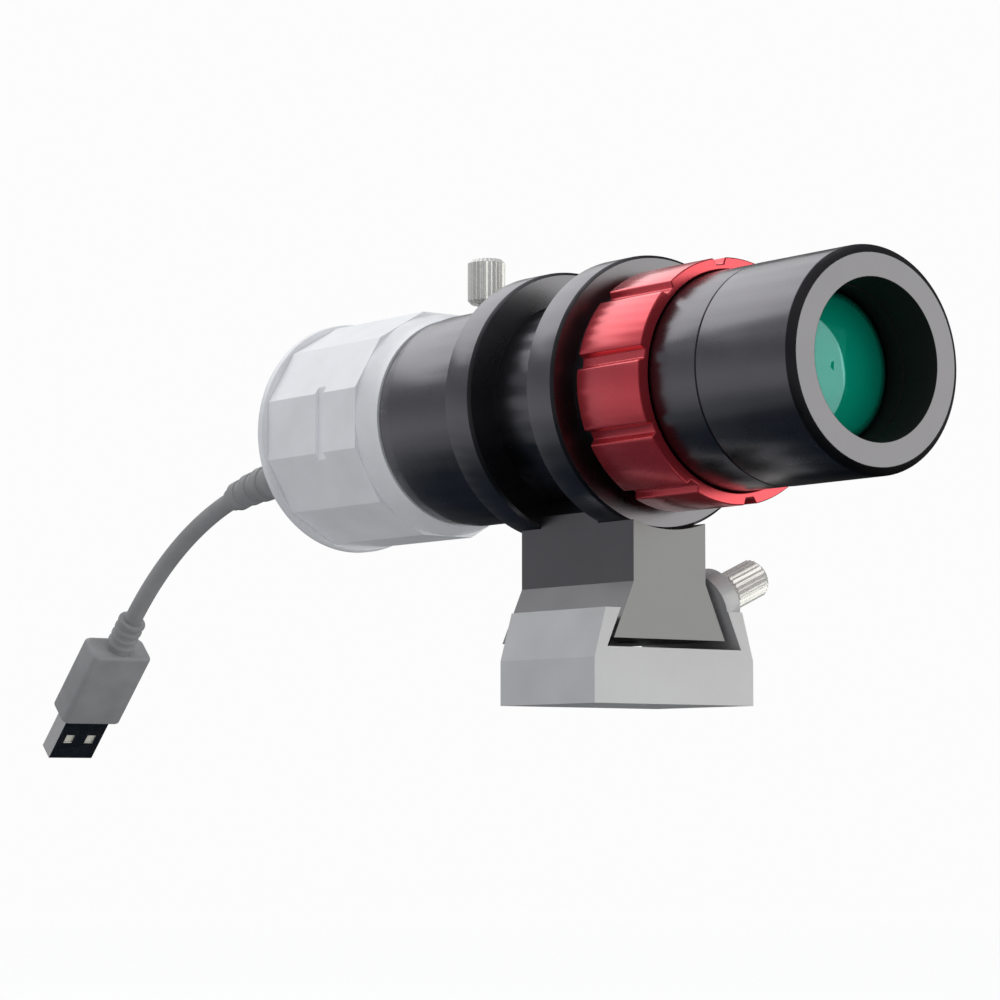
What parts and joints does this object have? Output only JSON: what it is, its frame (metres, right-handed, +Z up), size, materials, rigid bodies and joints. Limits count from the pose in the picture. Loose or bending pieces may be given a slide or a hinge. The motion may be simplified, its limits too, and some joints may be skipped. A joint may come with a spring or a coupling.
{
  "type": "finder scope",
  "caption": "Small helical-focus finder and guide scope with a camera in its rear holder, on a dovetail foot clamped in a finder shoe by two thumbscrews.",
  "frame": {"origin": "centre of the finder shoe's bottom face, which bolts to the telescope", "axes": "+X forward along the optical axis towards the sky, +Z up from the shoe to the tube, thumbscrews of the shoe on the +Y side"},
  "size_m": [0.2807, 0.0556, 0.1047],
  "materials": {
    "black_anodised": "satin black anodised",
    "black_matt": "matt black",
    "red_anodised": "satin red anodised",
    "silver_anodised": "fine blasted silver",
    "shoe_grey": "satin grey",
    "foot_grey": "satin dark grey anodised",
    "nickel": "bright nickel",
    "black_steel": "black oxide steel",
    "brass": "turned brass",
    "nylon": "natural nylon",
    "coated_glass": "green antireflection coating",
    "clear_glass": "clear polished",
    "circuit_board": "green solder mask",
    "sensor_package": "glass-topped sensor package",
    "ivory_plastic": "natural plastic",
    "cable_rubber": "matt dark grey"
  },
  "bodies": {
    "shoe": {"finder_shoe": "shoe_grey"},
    "front_shoe_tip": {"front_shoe_screw_tip": "nylon"},
    "front_shoe_screw": {"front_shoe_thumbscrew": "nickel"},
    "rear_shoe_tip": {"rear_shoe_screw_tip": "nylon"},
    "rear_shoe_screw": {"rear_shoe_thumbscrew": "nickel"},
    "scope": {"dovetail_foot": "foot_grey", "foot_screws": "black_steel", "main_tube": "black_anodised", "tube_baffle": "black_matt", "camera_holder": "black_anodised", "compression_ring": "brass"},
    "lock_ring": {"focus_lock_ring": "red_anodised"},
    "lenses": {"crown_lens": "coated_glass", "flint_lens": "clear_glass"},
    "objective": {"focus_tube": "black_anodised", "objective_cell": "black_anodised", "lens_retaining_ring": "black_matt"},
    "holder_tip": {"holder_screw_tip": "nylon"},
    "holder_screw": {"holder_thumbscrew": "nickel"},
    "nose": {"camera_nose": "silver_anodised"},
    "camera": {"camera_housing": "silver_anodised", "camera_rear_cover": "silver_anodised", "cover_screws": "nickel", "camera_window": "clear_glass", "window_ring": "black_matt", "sensor_board": "circuit_board", "image_sensor": "sensor_package", "board_screws": "nickel", "cable_socket": "ivory_plastic", "cable_boot": "cable_rubber", "camera_cable": "cable_rubber", "plug_overmold": "cable_rubber", "plug_shell": "nickel", "plug_tongue": "ivory_plastic"}
  },
  "joints": [
    {"name": "foot_slide", "type": "slide", "parent": "shoe", "child": "scope", "axis": [1, 0, 0], "range_m": [-0.02, 0.025]},
    {"name": "front_shoe_screw_travel", "type": "slide", "parent": "shoe", "child": "front_shoe_tip", "axis": [0, 0.9135, 0.4067], "range_m": [0, 0.0028]},
    {"name": "front_shoe_screw_turn", "type": "hinge", "parent": "front_shoe_tip", "child": "front_shoe_screw", "pos_m": [0.0088, 0.0112, 0.0195], "axis": [0, 0.9135, 0.4067], "range_deg": [0, 1440]},
    {"name": "rear_shoe_screw_travel", "type": "slide", "parent": "shoe", "child": "rear_shoe_tip", "axis": [0, 0.9135, 0.4067], "range_m": [0, 0.0028]},
    {"name": "rear_shoe_screw_turn", "type": "hinge", "parent": "rear_shoe_tip", "child": "rear_shoe_screw", "pos_m": [-0.0088, 0.0112, 0.0195], "axis": [0, 0.9135, 0.4067], "range_deg": [0, 1440]},
    {"name": "focus_travel", "type": "slide", "parent": "scope", "child": "lenses", "axis": [1, 0, 0], "range_m": [-0.002, 0.006]},
    {"name": "focus_turn", "type": "hinge", "parent": "lenses", "child": "objective", "pos_m": [0.06, 0, 0.062], "axis": [1, 0, 0], "range_deg": [-720, 2160]},
    {"name": "lock_ring_turn", "type": "hinge", "parent": "scope", "child": "lock_ring", "pos_m": [0.024, 0, 0.062], "axis": [1, 0, 0], "range_deg": [0, 90]},
    {"name": "holder_screw_travel", "type": "slide", "parent": "scope", "child": "holder_tip", "axis": [0, 0, 1], "range_m": [0, 0.0028]},
    {"name": "holder_screw_turn", "type": "hinge", "parent": "holder_tip", "child": "holder_screw", "pos_m": [-0.0472, 0, 0.0792], "axis": [0, 0, 1], "range_deg": [0, 1440]},
    {"name": "camera_slide", "type": "slide", "parent": "scope", "child": "nose", "axis": [-1, 0, 0], "range_m": [0, 0.032]},
    {"name": "camera_turn", "type": "hinge", "parent": "nose", "child": "camera", "pos_m": [-0.0559, 0, 0.062], "axis": [1, 0, 0], "range_deg": [-90, 90]}
  ],
  "couplings": [
    {"joint": "front_shoe_screw_travel", "follows": "front_shoe_screw_turn", "m_per_rad": 0.00011141},
    {"joint": "rear_shoe_screw_travel", "follows": "rear_shoe_screw_turn", "m_per_rad": 0.00011141},
    {"joint": "focus_travel", "follows": "focus_turn", "m_per_rad": 0.00015915},
    {"joint": "holder_screw_travel", "follows": "holder_screw_turn", "m_per_rad": 0.00011141}
  ]
}
